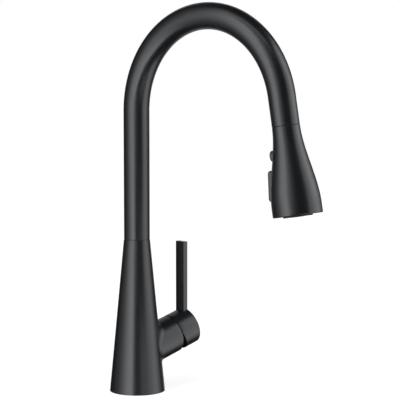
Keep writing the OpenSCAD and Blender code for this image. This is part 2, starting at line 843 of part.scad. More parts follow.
module hose_tail() {
    collar_l = spout_end_len + collar_z;
    barb_l = 1;
    tail_bore_r = hose_bore_r - 0.9;
    color(brass) in_dock() difference() {
        union() {
            translate([0, 0, barb_l]) cylinder(r = hose_bore_r - fit_gap, h = ferrule_end_l);
            translate([0, 0, ferrule_end_l]) cylinder(r = tail_r, h = collar_l - ferrule_end_l + cut);
            translate([0, 0, collar_l]) cylinder(r = tail_collar_r, h = collar_t);
        }
        cylinder(r = tail_bore_r, h = spout_end_len);
    }
}

// ---- Spray head, inlet ----

module docking_nut() {
    color(black_plastic) in_head() difference() {
        translate([0, 0, -dock_len]) cylinder(r1 = dock_small_r, r2 = dock_large_r, h = dock_len + head_z);
        translate([0, 0, -dock_len - cut]) cylinder(r = tail_r + run_gap, h = dock_len);
        translate([0, 0, nut_seat_z]) cylinder(r = nut_bore_r, h = dock_len);
        translate([0, 0, core_spigot_top]) cylinder(r = core_spigot_r + 2 * fit_gap, h = dock_len);
    }
}

module inlet_washer() {
    washer_z = collar_z + collar_t;
    washer_h = core_spigot_top - washer_z;
    color(rubber) in_head() ring(tail_collar_r - 0.1, hose_bore_r + 0.2, washer_z, washer_h);
}

module filter_screen() {
    side_gap = 0.1;
    screen_t = cage_top - core_spigot_top - 2 * side_gap;
    hole_r = 1;
    hole_ring_r = 3;
    color(steel) in_head() difference() {
        translate([0, 0, core_spigot_top + side_gap]) cylinder(r = cage_r, h = screen_t);
        for (i = [0:5]) rotate([0, 0, i * 60]) translate([hole_ring_r, 0, core_spigot_top - cut])
            cylinder(r = hole_r, h = screen_t + 2 * cut);
        translate([0, 0, core_spigot_top - cut]) cylinder(r = hole_r, h = screen_t + 2 * cut);
    }
}

module check_cage() {
    seat_t = 2;
    room_r = poppet_r + 0.5;
    hole_r = 0.9;
    hole_ring_r = 2.8;
    floor_t = cage_end - cage_floor_z;
    color(grey_plastic) in_head() difference() {
        translate([0, 0, cage_top]) cylinder(r = cage_r, h = cage_end - cage_top);
        translate([0, 0, cage_top - cut]) cylinder(r = poppet_r - 1, h = seat_t + 2 * cut);
        translate([0, 0, cage_top + seat_t]) cylinder(r = room_r, h = cage_floor_z - cage_top - seat_t);
        translate([0, 0, cage_floor_z - cut]) cylinder(r = poppet_stem_r + run_gap, h = floor_t + 2 * cut);
        for (i = [0:2]) rotate([0, 0, i * 120]) translate([hole_ring_r, 0, cage_floor_z - cut])
            cylinder(r = hole_r, h = floor_t + 2 * cut);
    }
}

module check_poppet() {
    color(white_plastic) in_head() {
        translate([0, 0, poppet_z]) cylinder(r = poppet_r, h = poppet_t);
        translate([0, 0, poppet_z + poppet_t - fit_gap])
            cylinder(r = poppet_stem_r, h = poppet_end - poppet_z - poppet_t);
    }
}

module check_spring() {
    spring_z = poppet_z + poppet_t;
    spring_bore_r = poppet_stem_r + 0.8;
    wire_d = 0.8;
    color(steel) in_head() ring(spring_bore_r + wire_d, spring_bore_r, spring_z, cage_floor_z - spring_z);
}

// ---- Spray head, casing and core ----

// The flare from z0 to z1, drawn in by inset, with a bevel at the rim
module shell_solid(inset, z0, z1, bevel) {
    rim_r = head_rim_r - inset;
    flare = [for (i = [0:shell_steps])
        let (z = z0 + (flare_len - z0) * i / shell_steps) [shell_r(z) - inset, z]];
    rotate_extrude() polygon(concat([[0, z0]], flare, [[rim_r, z1 - bevel], [rim_r - bevel, z1], [0, z1]]));
}

module spray_shell() {
    color(black) in_head() difference() {
        shell_solid(0, head_z, head_len, rim_bevel);
        shell_solid(shell_wall, -cut, head_len + cut, rim_bevel);
        translate([0, 0, pause_z]) bar_x(pause_r + run_gap, flange_high_x, 2 * head_rim_r);
        translate([flange_high_x, -rocker_half_w - run_gap, rocker_z - 3 * run_gap])
            cube([head_rim_r, 2 * (rocker_half_w + run_gap), rocker_len + 4 * run_gap]);
    }
}

module spray_core() {
    flare_foot_t = 4;
    flare_foot_r = barrel_r + 2.5;
    joint = 2;
    finger_room = 2.4;
    color(grey_plastic) in_head() difference() {
        union() {
            translate([0, 0, core_spigot_top]) cylinder(r = core_spigot_r, h = joint - core_spigot_top);
            translate([0, 0, head_z]) cylinder(r = core_collar_r, h = core_collar_h);
            translate([0, 0, joint / 2]) cylinder(r = barrel_r, h = chamber_z - joint / 2);
            translate([0, 0, chamber_z - flare_foot_t]) cylinder(r = flare_foot_r, h = flare_foot_t);
            for (s = [-1, 1]) translate([0, s * (ear_in + ear_t / 2), rocker_mid_z]) {
                translate([ear_root_x, -ear_t / 2, -ear_r])
                    cube([rocker_pin_x - ear_root_x, ear_t, 2 * ear_r]);
                translate([rocker_pin_x, 0, 0]) rotate([90, 0, 0])
                    cylinder(r = ear_r, h = ear_t, center = true);
            }
        }
        translate([0, 0, core_spigot_top - cut])
            cylinder(r = cage_r + fit_gap, h = cage_end - core_spigot_top + cut);
        cylinder(r = passage_r, h = spool_z);
        translate([0, 0, spool_z - joint]) cylinder(r = spool_r + fit_gap, h = chamber_z);
        translate([0, 0, pause_z]) {
            bar_x(pause_flange_r + 0.4, pause_seat_x, 2 * barrel_r);
            bar_x(pause_spring_r + run_gap, pause_spring_x, 2 * barrel_r);
            bar_x(pause_stem_r + fit_gap, 0, 2 * barrel_r);
        }
        translate([spool_groove_r, -finger_half_w - run_gap, rocker_mid_z - finger_tip_r - run_gap])
            cube([barrel_r + cut, 2 * (finger_half_w + run_gap), 2 * finger_tip_r + finger_room]);
        translate([rocker_pin_x, 0, rocker_mid_z]) rotate([90, 0, 0])
            cylinder(r = rocker_pin_r + fit_gap, h = 4 * ear_in, center = true);
    }
}

// ---- Spray head, controls ----

module pause_button() {
    crown_steps = 6;
    crown_x = pause_top - pause_crown_r;
    crown_angle = asin(pause_r / pause_crown_r);
    color(black_plastic) in_head() translate([0, 0, pause_z]) rotate([0, 90, 0]) rotate_extrude()
        polygon(concat(
            [[0, flange_low_x], [pause_flange_r, flange_low_x], [pause_flange_r, flange_high_x],
             [pause_r, flange_high_x]],
            [for (i = [crown_steps:-1:1])
                [pause_crown_r * sin(crown_angle * i / crown_steps),
                 crown_x + pause_crown_r * cos(crown_angle * i / crown_steps)]],
            [[0, pause_top]]));
}

module pause_stem() {
    color(brass) in_head() translate([0, 0, pause_z]) bar_x(pause_stem_r, pause_stem_end, flange_low_x);
}

module pause_spring() {
    wire_d = 1.1;
    color(steel) in_head() translate([0, 0, pause_z]) difference() {
        bar_x(pause_spring_r, pause_spring_x, flange_low_x);
        bar_x(pause_spring_r - wire_d, pause_spring_x - cut, flange_low_x + cut);
    }
}

// Side view of the rocker: x is the distance from the head's axis, y runs along the head
module rocker_outline() {
    low_x = rocker_top;
    high_x = rocker_top - rocker_step;
    end_z = rocker_z + rocker_len;
    bevel = 1.2;
    polygon([
        [shell_r(rocker_z) - shell_wall, rocker_z], [high_x - bevel, rocker_z],
        [high_x - bevel / 4, rocker_z + bevel], [high_x, rocker_z + 3 * bevel],
        [high_x - 0.2, rocker_mid_z - 5], [(high_x + low_x) / 2, rocker_mid_z - 1],
        [low_x - 0.1, rocker_mid_z + 3], [low_x, end_z - 3 * bevel],
        [low_x - bevel / 4, end_z - bevel], [low_x - bevel, end_z],
        [shell_r(end_z) - shell_wall, end_z]
    ]);
}

module rocker() {
    block_half_w = ear_in - run_gap;
    block_x = rocker_pin_x - 2.5;
    block_h = 6;
    pad_t = 3;
    ear_room_h = 14;
    color(black_plastic) in_head() difference() {
        union() {
            rotate([90, 0, 0]) linear_extrude(2 * rocker_half_w, center = true) rocker_outline();
            translate([block_x, -block_half_w, rocker_mid_z - block_h / 2])
                cube([rocker_top - pad_t - block_x, 2 * block_half_w, block_h]);
            translate([finger_x, -finger_half_w, rocker_mid_z - finger_half_t])
                cube([rocker_pin_x - finger_x, 2 * finger_half_w, 2 * finger_half_t]);
            translate([finger_x, 0, rocker_mid_z]) rotate([90, 0, 0])
                cylinder(r = finger_tip_r, h = 2 * finger_half_w, center = true);
        }
        translate([rocker_pin_x, 0, rocker_mid_z]) rotate([90, 0, 0])
            cylinder(r = rocker_pin_r + fit_gap, h = 4 * rocker_half_w, center = true);
        for (s = [-1, 1]) translate([0, s * (ear_in + ear_t), rocker_mid_z])
            cube([2 * (rocker_pin_x + ear_r + run_gap), 2 * (ear_t + run_gap), ear_room_h], center = true);
    }
}

module rocker_pin() {
    color(steel) in_head() translate([rocker_pin_x, 0, rocker_mid_z]) rotate([90, 0, 0])
        cylinder(r = rocker_pin_r, h = 2 * (ear_in + ear_t), center = true);
}

module diverter_spool() {
    color(white_plastic) in_head() difference() {
        translate([0, 0, spool_z]) cylinder(r = spool_r, h = spool_end - spool_z);
        translate([0, 0, spool_z - cut]) cylinder(r = spool_bore_r, h = spool_end - spool_z + 2 * cut);
        ring(spool_r + cut, spool_groove_r, rocker_mid_z - groove_half_w, 2 * groove_half_w);
        for (z = ring_z) ring(spool_r + cut, spool_r - 1, z - fit_gap, ring_t + 2 * fit_gap);
    }
}

module spool_rings() {
    color(rubber) in_head() for (z = ring_z) ring(spool_r, spool_r - 1 + fit_gap, z, ring_t);
}

// ---- Spray face ----

module nozzle_places() {
    for (p = nozzle_rings) for (i = [0:p[1] - 1])
        rotate([0, 0, (i + 0.5) * 360 / p[1]]) translate([p[0], 0, 0]) children();
}

module outlet_chamber() {
    hole_r = 1.6;
    inner_wall = 1.6;
    color(grey_plastic) in_head() difference() {
        translate([0, 0, chamber_z]) cylinder(r = chamber_r, h = chamber_h);
        ring(chamber_r - chamber_wall, aerator_r + inner_wall, chamber_z + chamber_floor, chamber_h);
        translate([0, 0, aerator_z - fit_gap]) cylinder(r = aerator_r + fit_gap, h = chamber_h);
        translate([0, 0, chamber_z - cut]) cylinder(r = spool_r - 0.5, h = chamber_h);
        for (i = [0:5]) rotate([0, 0, i * 60]) translate([(aerator_r + chamber_r) / 2, 0, chamber_z - cut])
            cylinder(r = hole_r, h = chamber_floor + 2 * cut);
        ring(face_seal_r + fit_gap, face_seal_r - face_seal_w - fit_gap, mat_z - face_seal_t, chamber_h);
    }
}

module chamber_seal() {
    color(rubber) in_head() ring(face_seal_r, face_seal_r - face_seal_w, mat_z - face_seal_t, face_seal_t);
}

module nozzle_mat() {
    color(rubber) in_head() difference() {
        union() {
            ring(chamber_r, aerator_r + 2 * fit_gap, mat_z, mat_t);
            nozzle_places() translate([0, 0, mat_z]) cylinder(r = nozzle_r, h = nozzle_end - mat_z);
        }
        nozzle_places() translate([0, 0, mat_z - cut])
            cylinder(r = nozzle_bore_r, h = nozzle_end - mat_z + 2 * cut);
    }
}

module face_plate() {
    color(black_plastic) in_head() difference() {
        ring(chamber_r, aerator_r + 2 * fit_gap, face_z, face_t);
        nozzle_places() translate([0, 0, face_z - cut]) cylinder(r = nozzle_r + 0.25, h = face_t + 2 * cut);
    }
}

module face_ring() {
    ring_h = ring_end_z - face_z - face_t;
    color(black_plastic) in_head()
        ring(head_rim_r - shell_wall - fit_gap, chamber_r - 1.2, face_z + face_t, ring_h);
}

module aerator() {
    web_t = 1.5;
    web_z = aerator_z + 3;
    bore_r = aerator_r - 1.3;
    hole_r = 0.9;
    hole_ring_r = 3.2;
    color(black_plastic) in_head() difference() {
        translate([0, 0, aerator_z]) cylinder(r = aerator_r, h = aerator_end - aerator_z);
        translate([0, 0, aerator_z - cut]) cylinder(r = bore_r, h = web_z - aerator_z + cut);
        translate([0, 0, web_z + web_t]) cylinder(r = bore_r, h = aerator_end);
        for (i = [0:5]) rotate([0, 0, i * 60]) translate([hole_ring_r, 0, web_z - cut])
            cylinder(r = hole_r, h = web_t + 2 * cut);
        translate([0, 0, web_z - cut]) cylinder(r = hole_r, h = web_t + 2 * cut);
    }
}

body_casting();
base_gasket();
shank();
base_screws();
rubber_washer();
metal_washer();
mounting_nut();
tightening_screws();
cartridge_base();
cartridge_sleeve();
port_seals();
fixed_disc();
bonnet_nut();
swivel_washer();
cartridge_rotor();
stem_pin();
moving_disc();
disc_carrier();
handle_cap();
lever();
cartridge_stem();
set_screw();
spout_tube();
spout_spigot();
guide_bushes();
retaining_clip();
dock_sleeve();
pull_out_hose();
hose_connector();
hose_ferrule();
hose_tail();
docking_nut();
inlet_washer();
filter_screen();
check_cage();
check_spring();
check_poppet();
spray_core();
spray_shell();
pause_button();
pause_stem();
pause_spring();
rocker();
rocker_pin();
diverter_spool();
spool_rings();
outlet_chamber();
chamber_seal();
nozzle_mat();
face_plate();
face_ring();
aerator();
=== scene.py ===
"""Looks of a pull-down kitchen faucet: a cone body with a side valve and a lever, an arched spout that
swivels on it, and a spray head on a hose. Lengths are written in millimetres and go into the meshes in
metres."""

import math

import bmesh
import bpy
import numpy as np
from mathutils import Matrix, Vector


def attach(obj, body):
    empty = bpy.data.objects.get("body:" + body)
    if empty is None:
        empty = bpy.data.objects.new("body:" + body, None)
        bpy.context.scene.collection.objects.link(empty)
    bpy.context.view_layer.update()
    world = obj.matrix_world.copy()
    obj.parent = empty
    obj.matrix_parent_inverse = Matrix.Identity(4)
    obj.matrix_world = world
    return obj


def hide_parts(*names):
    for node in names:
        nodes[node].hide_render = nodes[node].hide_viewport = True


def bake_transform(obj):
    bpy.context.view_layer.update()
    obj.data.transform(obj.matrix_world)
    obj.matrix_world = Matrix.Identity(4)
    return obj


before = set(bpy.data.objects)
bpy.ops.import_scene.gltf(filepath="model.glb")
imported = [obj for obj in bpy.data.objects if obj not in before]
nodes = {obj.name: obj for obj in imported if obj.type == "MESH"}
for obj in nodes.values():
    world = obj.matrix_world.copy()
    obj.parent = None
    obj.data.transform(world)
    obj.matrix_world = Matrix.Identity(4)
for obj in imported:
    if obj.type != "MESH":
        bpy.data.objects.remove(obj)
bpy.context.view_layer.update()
scene = bpy.context.scene
scene.view_settings.view_transform = "Standard"

# ---- Camera ----
# A long lens at the height of the spray head, on the sink's side and left of the spout.

view_camera = bpy.data.objects.new("view_camera", bpy.data.cameras.new("view_camera"))
scene.collection.objects.link(view_camera)
scene.camera = view_camera
view_camera.data.lens = 134.75
view_camera.data.sensor_width = 36
eye = Vector((-0.9134, -1.2640, 0.33625))
aim = Vector((0.0518, -0.0409, 0.20128))
view_camera.location = eye
view_camera.rotation_euler = (aim - eye).to_track_quat("-Z", "Y").to_euler()

# ---- Node terms and meshes ----
# What all the sections below use: node trees written as sums and products, and meshes made from grids of
# points.

sharp_angle = math.radians(32)


class Term:
    """An output socket of a node tree. Sums and products of terms add Math nodes; node() adds any other."""

    def __init__(self, tree, socket=None):
        self.tree, self.socket = tree, socket

    def node(self, kind, settings=None, inputs=None, out=0):
        """Adds a node, sets its settings and then its sockets by name or number, and gives its output."""
        made = self.tree.nodes.new(kind)
        for key, value in (settings or {}).items():
            setattr(made, key, value)
        for key, value in (inputs or {}).items():
            self.tie(made.inputs[key], value)
        return Term(self.tree, made.outputs[out])

    def tie(self, socket, value):
        """Links a term to a socket, or sets the socket to a plain value."""
        if isinstance(value, Term):
            self.tree.links.new(value.socket, socket)
        else:
            socket.default_value = value

    def maths(self, operation, a, b=0):
        """A Math node of two terms or numbers."""
        return self.node("ShaderNodeMath", {"operation": operation}, {0: a, 1: b})

    def noise(self, scale, detail, roughness=0.5):
        """Noise read at this place."""
        return self.node("ShaderNodeTexNoise", {}, {
            "Vector": self, "Scale": scale, "Detail": detail, "Roughness": roughness})

    def stretched(self, scale):
        """This place, scaled along each axis."""
        return self.node("ShaderNodeMapping", {}, {"Vector": self, "Scale": scale})

    def between(self, dark, light):
        """A colour between two, by this factor."""
        return self.node("ShaderNodeMix", {"data_type": "RGBA"}, {
            0: self, 6: (*dark, 1), 7: (*light, 1)}, out=2)

    def __add__(self, other):
        return self.maths("ADD", self, other)

    def __sub__(self, other):
        return self.maths("SUBTRACT", self, other)

    def __rsub__(self, other):
        return self.maths("SUBTRACT", other, self)

    def __mul__(self, other):
        return self.maths("MULTIPLY", self, other)

    __radd__ = __add__
    __rmul__ = __mul__


def skin(name, grid, along=False):
    """A mesh from a grid of points, rows by columns. The columns run round and close, and the last row
    joins the first if along is set. Points that coincide are merged, which closes poles and seams."""
    rows, columns = grid.shape[:2]
    index = np.arange(rows * columns).reshape(rows, columns)
    index = np.concatenate([index, index[:, :1]], axis=1)
    if along:
        index = np.concatenate([index, index[:1]], axis=0)
    quads = np.stack([index[:-1, :-1], index[:-1, 1:], index[1:, 1:], index[1:, :-1]], axis=-1)
    return solid(name, grid.reshape(-1, 3), quads.reshape(-1, 4))


def solid(name, points, quads):
    """An object from points in millimetres and faces, merged and shaded smooth but for its edges. The
    faces of a closed one are turned outwards."""
    mesh = bpy.data.meshes.new(name)
    mesh.from_pydata(points * 0.001, [], quads.tolist())
    work = bmesh.new()
    work.from_mesh(mesh)
    bmesh.ops.remove_doubles(work, verts=work.verts, dist=1e-7)
    if all(edge.is_manifold for edge in work.edges):
        bmesh.ops.recalc_face_normals(work, faces=work.faces)
        if work.calc_volume(signed=True) < 0:
            bmesh.ops.reverse_faces(work, faces=work.faces)
    work.to_mesh(mesh)
    work.free()
    mesh.shade_smooth()
    mesh.set_sharp_from_angle(angle=sharp_angle)
    piece = bpy.data.objects.new(name, mesh)
    scene.collection.objects.link(piece)
    return piece


def circle(count):
    """Cosines and sines of evenly spaced angles."""
    angle = np.arange(count) * 2 * math.pi / count
    return np.cos(angle), np.sin(angle)


# ---- Studio ----
# A white deck that the faucet stands on, with the shank's hole in it. It takes the faucet's shadow, but
# lets the lamps' light and mirror images through from below, as a glass deck would. Walls of light on
# both sides, brighter towards the camera, and boxes behind and overhead draw the stripes on the black
# finish.

deck_hole_r, deck_sides, deck_z = 17.8, 96, -0.05
deck_rings = np.array([4000.0, 400, 60, deck_hole_r])[:, None]
cosines, sines = circle(deck_sides)
floor = skin("deck_floor", np.stack([
    deck_rings * cosines, deck_rings * sines, np.full((len(deck_rings), deck_sides), deck_z)], axis=-1))
floor_paint = bpy.data.materials.new("white_floor")
floor_paint.use_nodes = True
paint = Term(floor_paint.node_tree)
spot = paint.node("ShaderNodeTexCoord", out=3)
grain = spot.noise(6.0, 2.0)
away = paint.node("ShaderNodeMapRange", {"interpolation_type": "SMOOTHSTEP"}, {
    "Value": paint.node("ShaderNodeVectorMath", {"operation": "LENGTH"}, {0: spot}, out=1),
    "From Min": 0.06, "From Max": 0.45, "To Min": 0.85, "To Max": 1.0})
to_camera, to_lamp, to_mirror = (paint.node("ShaderNodeLightPath", out=i) for i in (0, 1, 3))
from_below = paint.node("ShaderNodeNewGeometry", out=6)
lit = paint.node("ShaderNodeBsdfDiffuse", {}, {"Color": (0.2, 0.2, 0.2, 1), "Roughness": 0.9})
glow = paint.node("ShaderNodeEmission", {}, {"Color": to_camera * (away + 0.01 * grain), "Strength": 1.0})
shown = paint.node("ShaderNodeAddShader", {}, {0: lit, 1: glow})
passed = paint.maths("MAXIMUM", from_below, paint.maths("MAXIMUM", to_lamp, to_mirror))
glass = paint.node("ShaderNodeBsdfTransparent")
paint.tie(floor_paint.node_tree.nodes["Material Output"].inputs["Surface"],
          paint.node("ShaderNodeMixShader", {}, {0: passed, 1: shown, 2: glass}))
floor.data.materials.append(floor_paint)

# White where the background is looked at, a faint card behind the faucet for what mirrors it, and dim
# elsewhere.
studio = bpy.data.worlds.new("studio")
scene.world = studio
studio.use_nodes = True
air = Term(studio.node_tree)
facing = air.node("ShaderNodeVectorMath", {"operation": "DOT_PRODUCT"}, {
    0: air.node("ShaderNodeTexCoord", out=0), 1: (0.6195, 0.785, 0.0)}, out=1)
card = air.node("ShaderNodeMapRange", {"interpolation_type": "SMOOTHSTEP"}, {
    "Value": facing, "From Min": 0.985, "From Max": 0.998})
to_camera, to_mirror, to_glass = (air.node("ShaderNodeLightPath", out=i) for i in (0, 3, 6))
looked_at = air.maths("MAXIMUM", to_camera, to_glass)
dim = to_mirror * (0.015 + 0.25 * card) + (1 - to_mirror) * 0.1
air.tie(studio.node_tree.nodes["Background"].inputs["Color"], looked_at + (1 - looked_at) * dim)
air.tie(studio.node_tree.nodes["Background"].inputs["Strength"], 1.0)


def soft_box(name, place, target, width, height, radiance):
    """A rectangular lamp turned to a target. Its power follows from its size and its radiance."""
    lamp = bpy.data.lights.new(name, "AREA")
    lamp.shape = "RECTANGLE"
    lamp.size, lamp.size_y = width, height
    lamp.energy = radiance * math.pi * width * height
    holder = bpy.data.objects.new(name, lamp)
    scene.collection.objects.link(holder)
    holder.location = place
    holder.rotation_euler = (Vector(target) - Vector(place)).to_track_quat("-Z", "Y").to_euler()
    holder.visible_camera = False


# Walls of light round a line through the faucet, in tiers. Each tier has its distance and its heights
# from and to, and each of its walls its angles from and to and its radiance.
walls_y = -0.04
light_walls = [
    (0.62, -0.80, 1.15, [(120, 146, 0.25)]),
    (0.62, -0.80, 0.19, [(146, 164, 0.9), (164, 180, 2.2), (180, 198, 3.7), (198, 212, 5.0)]),
    (0.62, 0.19, 1.15, [
        (148, 164, 1.4), (164, 192, 3.4), (192, 205, 4.2), (205, 222, 1.5), (222, 236, 0.5)]),
    (0.68, -0.30, 0.07, [(246, 284, 1.3)]),
    (0.68, -0.75, 1.10, [(284, 304, 1.9)]),
    (0.68, -0.75, 0.33, [(304, 334, 2.4)]),
    (0.68, 0.33, 1.10, [(304, 334, 3.1)]),
    (0.68, -0.75, 1.10, [(334, 352, 0.9)])]
for distance, low, high, walls in light_walls:
    height = (low + high) / 2
    for start, stop, radiance in walls:
        turned, half = math.radians((start + stop) / 2), math.radians((stop - start) / 2)
        soft_box("light_wall", (distance * math.cos(turned), distance * math.sin(turned) + walls_y, height),
                 (0, walls_y, height), 2 * distance * math.tan(half), high - low, radiance)
soft_box("back_box", (0.42, 0.40, 0.29), (0.01, -0.08, 0.22), 0.59, 1.1, 0.55)
soft_box("top_box", (-0.42, -0.24, 1.45), (0.01, -0.08, 0.22), 1.33, 0.28, 2.2)

# ---- Body ----
# The brass casting under a baked black powder coat: a cone that stands on the deck, with the valve's hub
# growing out of its side through a fillet. The coat is a thin closed skin over the casting, which stays
# under it.

cone_foot_r, cone_neck_r, cone_h = 28.95, 13.65, 160.0
cone_slope = (cone_neck_r - cone_foot_r) / cone_h
hub_z, hub_tilt, hub_r, hub_len = 40.9, math.radians(17.8), 20.05, 47.6
hub_relief, mouth_r = math.tan(math.radians(3.5)), 17.4
fillet_r, side_fillet_r = 1.4, 13.4
coat_t, coat_depth, coat_edge = 0.05, 0.6, 0.4
coat_dark, coat_light = (0.0042, 0.0044, 0.0049), (0.0062, 0.0064, 0.0069)
coat_tint = (0.92, 0.95, 1.0, 1)


def finish(name, constants):
    """A new material with one Principled shader, and the object's coordinates as a term. The constants go
    on the shader's own sockets."""
    made = bpy.data.materials.new(name)
    made.use_nodes = True
    shader = made.node_tree.nodes["Principled BSDF"]
    for key, value in constants.items():
        shader.inputs[key].default_value = value
    return made, shader, Term(made.node_tree).node("ShaderNodeTexCoord", out=3)


def cover(shader, colour, roughness, relief=None, strength=0.0, depth=0.0):
    """Ties terms for colour and roughness to a shader, and a bump of a strength and a depth in metres."""
    colour.tie(shader.inputs["Base Color"], colour)
    colour.tie(shader.inputs["Roughness"], roughness)
    if relief:
        colour.tie(shader.inputs["Normal"], relief.node("ShaderNodeBump", {}, {
            "Strength": strength, "Distance": depth, "Height": relief}))


def dress(names, material):
    """Gives CAD nodes a material."""
    for name in names:
        nodes[name].data.materials.clear()
        nodes[name].data.materials.append(material)


# Powder coat: satin, with a very fine orange peel and faint clouding.
black_coat, shader, place = finish("black_coat", {"Specular Tint": coat_tint})
clouds = place.noise(35.0, 3.0)
peel = place.noise(1500.0, 2.0, 0.6)
cover(shader, clouds.between(coat_dark, coat_light), 0.28 + 0.04 * clouds + 0.02 * peel,
      peel, 0.12, 0.00002)


def lathe(name, centre, axis, side, profile, count):
    """A profile of radius and height, carried round an axis: centre + height * axis + radius * (cos *
    side + sin * third), where third is axis x side. The profile's end joins its start."""
    axis, side = np.asarray(axis, float), np.asarray(side, float)
    cosines, sines = circle(count)
    spoke = cosines[:, None] * side + sines[:, None] * np.cross(axis, side)
    profile = np.asarray(profile, float)
    radius, height = profile[:, 0, None, None], profile[:, 1, None, None]
    return skin(name, np.asarray(centre) + height * axis + radius * spoke, along=True)


def rounded(corners, steps=5):
    """A closed outline from corners (x, y, radius), each rounded by an arc between its tangent points."""
    out = []
    for i, (x, y, radius) in enumerate(corners):
        here = np.array([x, y], float)
        if radius == 0:
            out.append(here[None])
            continue
        back = np.array(corners[i - 1][:2]) - here
        ahead = np.array(corners[(i + 1) % len(corners)][:2]) - here
        back, ahead = back / np.linalg.norm(back), ahead / np.linalg.norm(ahead)
        half = math.acos(np.clip(back @ ahead, -1, 1)) / 2
        middle = here + (back + ahead) / np.linalg.norm(back + ahead) * radius / math.sin(half)
        first = here + back * radius / math.tan(half) - middle
        last = here + ahead * radius / math.tan(half) - middle
        span = math.pi - 2 * half
        t = np.linspace(0, 1, steps + 1)[:, None]
        out.append(middle + (np.sin((1 - t) * span) * first + np.sin(t * span) * last) / math.sin(span))
    return np.concatenate(out)


def joined(name, pieces):
    """Several meshes as one object."""
    work = bmesh.new()
    for piece in pieces:
        work.from_mesh(piece.data)
    mesh = bpy.data.meshes.new(name)
    work.to_mesh(mesh)
    work.free()
    for piece in pieces:
        bpy.data.objects.remove(piece)
    made = bpy.data.objects.new(name, mesh)
    scene.collection.objects.link(made)
    return made


def finished(piece, body, material, slot, *replaced):
    """Puts a piece on its CAD body, with its finish, in place of the CAD nodes that it stands for."""
    piece.data.materials.clear()
    piece.data.materials.append(material)
    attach(piece, body)
    if replaced:
        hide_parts(*replaced)


up = np.array([0, 0, 1.0])
coat_foot, coat_neck = cone_foot_r + coat_t, cone_neck_r + coat_t
cone_coat = lathe("cone_coat", (0, 0, 0), up, (1, 0, 0), rounded([
    (coat_foot - coat_depth, 0.02, 0), (coat_foot, 0.02, 0.25), (coat_neck, cone_h + coat_t, 0.3),
    (coat_neck - 0.8, cone_h + coat_t, 0), (coat_neck - 0.8, cone_h - 0.5, 0),
    (coat_foot - coat_depth, 0.4, 0)]), 256)

# The hub's coat. Its fillet into the cone is wider at the sides than above and below. For each angle
# round the hub, a ball of the fillet's radius rests on hub and cone: its centre lies on the hub's radius
# grown by the ball's, where its distance from the cone is the same. That place, start_d along the hub,
# solves a quadratic.
hub_axis = np.array([math.cos(hub_tilt), 0, math.sin(hub_tilt)])
hub_down = np.array([math.sin(hub_tilt), 0, -math.cos(hub_tilt)])
hub_side = np.array([0, 1.0, 0])
coat_hub_r = hub_r + coat_t
cosines, sines = circle(192)
ball = fillet_r + (side_fillet_r - fillet_r) * sines ** 2
spoke = cosines[:, None] * hub_down + sines[:, None] * hub_side
lean = math.cos(math.atan(cone_slope))
foot = hub_z * up + spoke * (coat_hub_r + ball)[:, None]
reach = coat_foot + cone_slope * foot[:, 2] + ball / lean
climb = cone_slope * hub_axis[2]
a = hub_axis[0] ** 2 - climb ** 2
b = 2 * (foot[:, 0] * hub_axis[0] - reach * climb)
c = foot[:, 0] ** 2 + foot[:, 1] ** 2 - reach ** 2
start_d = (-b + np.sqrt(b ** 2 - 4 * a * c)) / (2 * a)
middle = foot + start_d[:, None] * hub_axis
flat = middle * [1, 1, 0] / np.hypot(middle[:, 0], middle[:, 1])[:, None]
to_cone = (up * cone_slope - flat) * lean
to_hub = -spoke
span = np.arccos(np.sum(to_cone * to_hub, axis=1))[:, None]
share = np.linspace(0, 1, 13)[:, None, None]
arc = (np.sin((1 - share) * span) * to_cone + np.sin(share * span) * to_hub) / np.sin(span)
fillet = middle + ball[:, None] * arc
end_d = hub_len - np.maximum(0, cosines * hub_r) * hub_relief


def hub_row(r, d):
    """Points round the hub's axis, at radius r and distances d along it."""
    return hub_z * up + spoke * r + d[:, None] * hub_axis


barrel = [hub_row(coat_hub_r, start_d + (end_d - coat_edge - start_d) * q)
          for q in np.linspace(0, 1, 12)[1:]]
edge = [hub_row(coat_hub_r - coat_edge * (1 - math.cos(q)), end_d + coat_t - coat_edge * (1 - math.sin(q)))
        for q in np.linspace(0, math.pi / 2, 5)[1:]]
mouth = [hub_row(mouth_r + 0.15, end_d + coat_t), hub_row(mouth_r + 1.0, end_d - 0.5)]
back = middle + (ball[:, None] + coat_depth) * arc[::-1]
hub_coat = skin("hub_coat", np.concatenate([fillet, barrel, edge, mouth, back]), along=True)
body_coat = joined("body_coat", [cone_coat, hub_coat])
finished(body_coat, "body", black_coat, "black_coat")
dress(["body_casting"], black_coat)

# ---- Deck mounting ----
# Turned brass shank and nut, stainless washer and screws, and rubber gasket and washer, which clamp the
# body to the deck from below.

brass, shader, place = finish("turned_brass", {"Metallic": 1.0})
smear = place.noise(90.0, 4.0)
lines = place.stretched((60.0, 60.0, 5200.0)).noise(1.0, 2.0)
cover(shader, smear.between((0.58, 0.42, 0.17), (0.78, 0.60, 0.28)), 0.22 + 0.16 * smear,
      lines, 0.25, 0.00002)
dress(["shank", "mounting_nut", "bonnet_nut", "cartridge_stem", "spout_spigot", "hose_connector",
       "hose_tail", "pause_stem"], brass)

steel, shader, place = finish("stainless_steel", {"Metallic": 1.0})
brushed = place.stretched((2600.0, 120.0, 900.0)).noise(1.0, 3.0)
cover(shader, brushed.between((0.50, 0.51, 0.52), (0.66, 0.67, 0.68)), 0.24 + 0.16 * brushed,
      brushed, 0.2, 0.00001)
dress(["base_screws", "metal_washer", "tightening_screws", "stem_pin", "set_screw", "retaining_clip",
       "hose_ferrule", "filter_screen", "rocker_pin"], steel)

